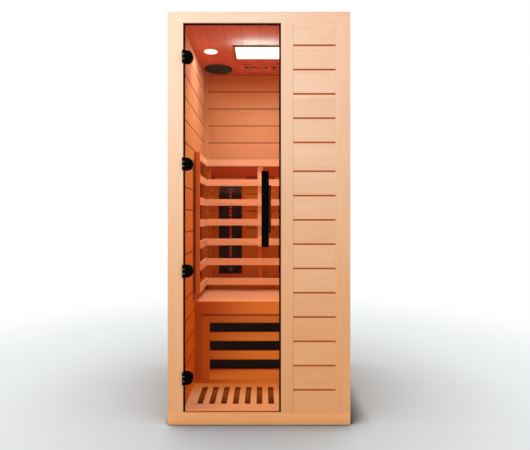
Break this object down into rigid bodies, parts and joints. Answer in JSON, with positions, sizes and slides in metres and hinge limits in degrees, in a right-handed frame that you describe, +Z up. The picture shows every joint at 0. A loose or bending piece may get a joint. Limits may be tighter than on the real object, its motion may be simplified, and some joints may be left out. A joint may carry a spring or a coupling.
{
  "type": "infrared sauna cabin",
  "caption": "Free-standing one-person infrared sauna cabin of panelled timber with a full-height hinged glass door, slatted bench and tube heaters.",
  "frame": {"origin": "middle of the 880 by 900 mm footprint, on the floor under the base board", "axes": "+X to the right as seen from the door, +Y to the back wall, +Z up; the door is in the front wall at -Y"},
  "size_m": [0.88, 0.945, 2.0515],
  "materials": {
    "outer_timber": "satin",
    "inner_timber": "satin",
    "bench_timber": "satin",
    "trim_timber": "satin",
    "floor_timber": "satin",
    "core_timber": "matte",
    "plywood": "matte",
    "insulation": "matte",
    "tinted_glass": "polished",
    "black_metal": "satin",
    "black_mesh": "matte",
    "reflector": "satin",
    "steel": "satin",
    "seal_rubber": "matte",
    "carbon_sheet": "matte",
    "black_plastic": "matte",
    "white_ceramic": "matte",
    "heating_quartz": "polished",
    "white_plastic": "satin",
    "diffuser": "satin"
  },
  "bodies": {
    "cabin": {"base_board": "plywood", "floor_boards": "floor_timber", "floor_grate": "floor_timber", "wall_frames": "core_timber", "wall_insulation": "insulation", "left_outer_boards": "outer_timber", "right_outer_boards": "outer_timber", "back_outer_boards": "outer_timber", "outer_trim_boards": "outer_timber", "left_inner_boards": "inner_timber", "right_inner_boards": "inner_timber", "back_inner_boards": "inner_timber", "inner_corner_trims": "inner_timber", "front_stiles": "outer_timber", "front_header": "outer_timber", "front_bottom_rail": "outer_timber", "front_outer_boards": "outer_timber", "front_inner_boards": "inner_timber", "roof_frame": "core_timber", "ceiling_boards": "inner_timber", "roof_top_board": "plywood", "control_box": "steel", "control_box_lid": "steel", "power_inlet": "black_plastic", "bench_top_boards": "bench_timber", "bench_nosing": "bench_timber", "bench_supports": "core_timber", "kick_panel": "trim_timber", "kick_panel_screws": "steel", "plinth": "trim_timber", "calf_heater": "carbon_sheet", "back_screen": "bench_timber", "side_screens": "bench_timber", "heater_trays": "reflector", "heater_tubes": "heating_quartz", "tube_holders": "white_ceramic", "heater_guards": "black_mesh", "heater_surrounds": "trim_timber", "hinge_leaves": "black_metal", "hinge_leaf_screws": "black_metal", "door_seal": "seal_rubber", "door_magnet": "black_plastic", "light_panel_frame": "white_plastic", "downlights": "white_plastic", "light_diffusers": "diffuser", "speakers": "black_plastic", "vent_cover": "inner_timber", "control_panel": "black_plastic"},
    "door": {"door_glass": "tinted_glass", "hinge_outer_plates": "black_metal", "hinge_inner_plates": "black_metal", "hinge_gaskets": "seal_rubber", "hinge_clamp_screws": "black_metal", "hinge_pins": "steel", "hinge_washers": "steel", "handle_bar": "black_metal", "handle_grip": "trim_timber", "handle_standoffs": "black_metal", "strike_plate": "steel"},
    "vent": {"vent_shutter": "inner_timber"}
  },
  "joints": [
    {"name": "door_hinge", "type": "hinge", "parent": "cabin", "child": "door", "pos_m": [-0.3635, -0.457, 0.998], "axis": [0, 0, -1], "range_deg": [0, 120]},
    {"name": "vent_slide", "type": "slide", "parent": "cabin", "child": "vent", "axis": [1, 0, 0], "range_m": [0, 0.0255]}
  ]
}
